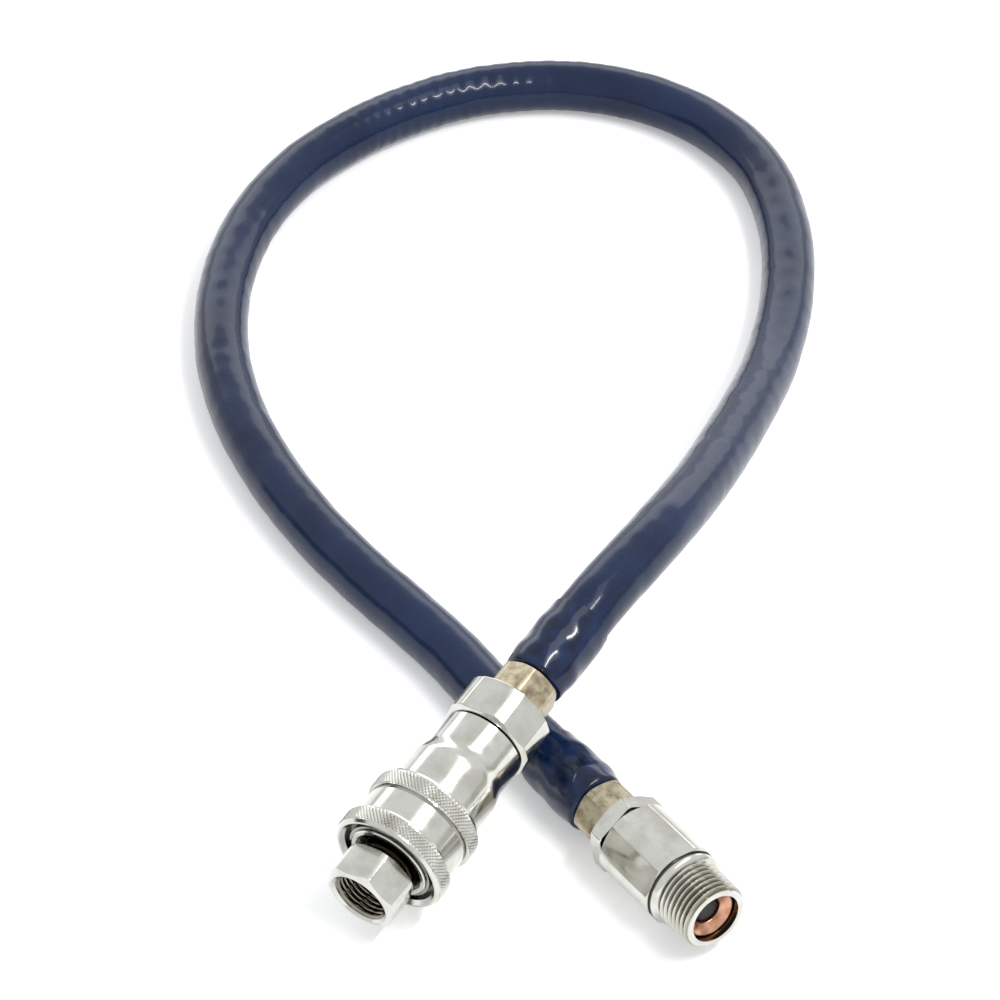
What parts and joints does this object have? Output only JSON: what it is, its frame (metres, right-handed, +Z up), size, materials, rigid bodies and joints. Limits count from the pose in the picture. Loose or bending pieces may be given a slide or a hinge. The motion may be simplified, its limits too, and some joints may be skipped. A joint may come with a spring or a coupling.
{
  "type": "water connector hose",
  "caption": "Coated flexible water hose laid in a loop, with a knurled quick-disconnect coupler on one end and a check valve with a male pipe thread on the other.",
  "frame": {"origin": "on the surface the hose lies on, under the centre of the box round the two end fittings", "axes": "+Z up from the surface, +Y from the crossing towards the far side of the loop, +X across it towards the side of the male end"},
  "size_m": [0.2096, 0.4363, 0.0487],
  "materials": {
    "coated_hose": "semi-gloss coat with fine ripples",
    "cuff_vinyl": "glossy moulded vinyl",
    "nickel": "bright nickel plating on brass",
    "tinted_brass": "heat-tinted, satin",
    "zinc_plate": "zinc plated",
    "spring_steel": "drawn wire",
    "polished_steel": "polished",
    "copper": "copper-coloured, satin",
    "black_rubber": "matt"
  },
  "bodies": {
    "hose": {"hose_tube": "coated_hose", "cuff_a": "cuff_vinyl", "cuff_b": "cuff_vinyl", "coupler_adapter": "nickel", "coupler_body": "nickel", "valve_cap": "nickel", "valve_body": "nickel", "stub_a": "tinted_brass", "stub_b": "tinted_brass", "socket_valve": "tinted_brass", "ferrule_a": "zinc_plate", "ferrule_b": "zinc_plate", "socket_valve_guide": "zinc_plate", "check_guide": "zinc_plate", "retaining_ring": "spring_steel", "socket_valve_spring": "spring_steel", "locking_ball_1": "polished_steel", "locking_ball_2": "polished_steel", "locking_ball_3": "polished_steel", "locking_ball_4": "polished_steel", "locking_ball_5": "polished_steel", "locking_ball_6": "polished_steel", "seat_ring": "copper", "packing_ring": "black_rubber"},
    "sleeve": {"locking_sleeve": "nickel", "sleeve_spring": "spring_steel"},
    "plug": {"plug_body": "nickel", "plug_valve": "tinted_brass", "plug_valve_spring": "spring_steel", "plug_valve_guide": "zinc_plate"},
    "check": {"check_poppet": "black_rubber", "check_spring": "spring_steel"}
  },
  "joints": [
    {"name": "sleeve_slide", "type": "slide", "parent": "hose", "child": "sleeve", "axis": [0.548, 0.8183, 0.1731], "range_m": [0, 0.005], "stiffness_N_per_m": 800, "springref_m": -0.008, "deforming": ["sleeve_spring"]},
    {"name": "plug_swivel", "type": "hinge", "parent": "hose", "child": "plug", "pos_m": [-0.04577, -0.03972, 0.01919], "axis": [-0.548, -0.8183, -0.1731], "continuous": true},
    {"name": "check_slide", "type": "slide", "parent": "hose", "child": "check", "axis": [-0.5478, 0.8348, -0.055], "range_m": [0, 0.003], "stiffness_N_per_m": 150, "springref_m": -0.006, "deforming": ["check_spring"]}
  ]
}
